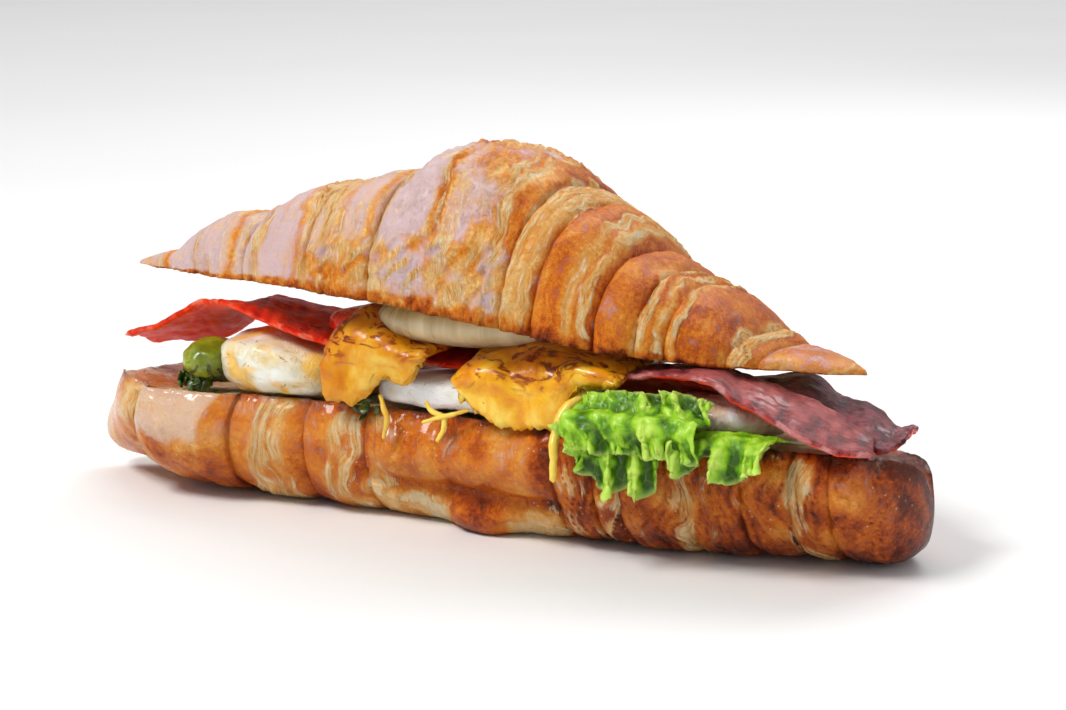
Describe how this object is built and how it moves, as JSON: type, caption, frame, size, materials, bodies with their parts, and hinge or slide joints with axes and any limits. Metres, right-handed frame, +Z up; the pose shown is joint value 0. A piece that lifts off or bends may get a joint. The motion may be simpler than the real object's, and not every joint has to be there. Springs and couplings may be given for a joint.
{
  "type": "bacon croissant",
  "caption": "Long butter croissant cut open lengthwise and filled with fried egg, bacon, melted cheese, onion, peppers and frilly lettuce, shown standing open on its flat base.",
  "frame": {"origin": "middle of the bounding box's bottom, on the plane the flat base stands on", "axes": "+X along the croissant from the pale narrow end to the dark blunt end, -Y towards the open front that the filling shows at, +Z up"},
  "size_m": [0.2046, 0.0852, 0.0824],
  "materials": {
    "crust": "flaky golden-brown baked crust, satin",
    "lower_crust": "buttery golden-brown baked crust, glossy",
    "bacon": "fried dark red meat with paler fatty rims, greasy",
    "egg": "fried egg white with browned spots, moist",
    "cheese": "melted and grilled, glossy",
    "onion": "translucent cooked onion, moist",
    "red_pepper": "shiny skin",
    "green_pepper": "charred shiny skin",
    "lettuce": "fresh leaf, satin"
  },
  "bodies": {
    "root": {"croissant_lower": "lower_crust", "croissant_upper": "crust", "bacon_left": "bacon", "bacon_right": "bacon", "bacon_back": "bacon", "bacon_under": "bacon", "egg_left": "egg", "egg_middle": "egg", "egg_right": "egg", "onion": "onion", "red_pepper": "red_pepper", "green_pepper": "green_pepper", "cheese_left": "cheese", "cheese_right": "cheese", "lettuce_leaf": "lettuce", "lettuce_curl": "lettuce"}
  },
  "joints": []
}
